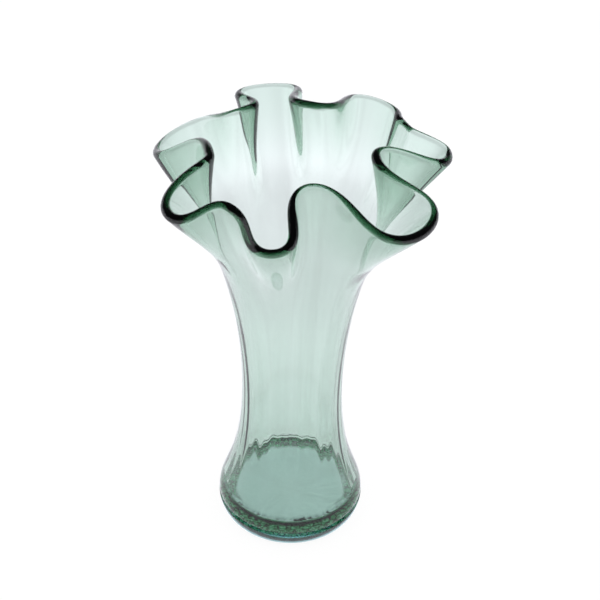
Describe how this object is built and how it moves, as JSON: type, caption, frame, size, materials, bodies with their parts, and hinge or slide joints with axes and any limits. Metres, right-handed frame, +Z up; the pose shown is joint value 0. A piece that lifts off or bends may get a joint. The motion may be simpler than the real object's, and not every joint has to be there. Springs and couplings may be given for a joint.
{
  "type": "ruffled glass vase",
  "caption": "Tall hand-blown glass vase with a thick round foot, a waisted body and a wide ruffled mouth edged with a dark rounded lip, for cut flowers.",
  "frame": {"origin": "middle of the standing ring, on the surface that the vase stands on", "axes": "+Z up along the vase's axis, -Y towards the viewer, +X to the viewer's right"},
  "size_m": [0.1838, 0.1683, 0.301],
  "materials": {
    "body_glass": "clear pale green, fire polished",
    "foot_glass": "clear blue-green, crackled round the edge and ground underneath",
    "lip_glass": "dark green, fire polished"
  },
  "bodies": {
    "root": {"vase_body": "body_glass", "foot_pad": "foot_glass", "lip_wrap": "lip_glass"}
  },
  "joints": []
}
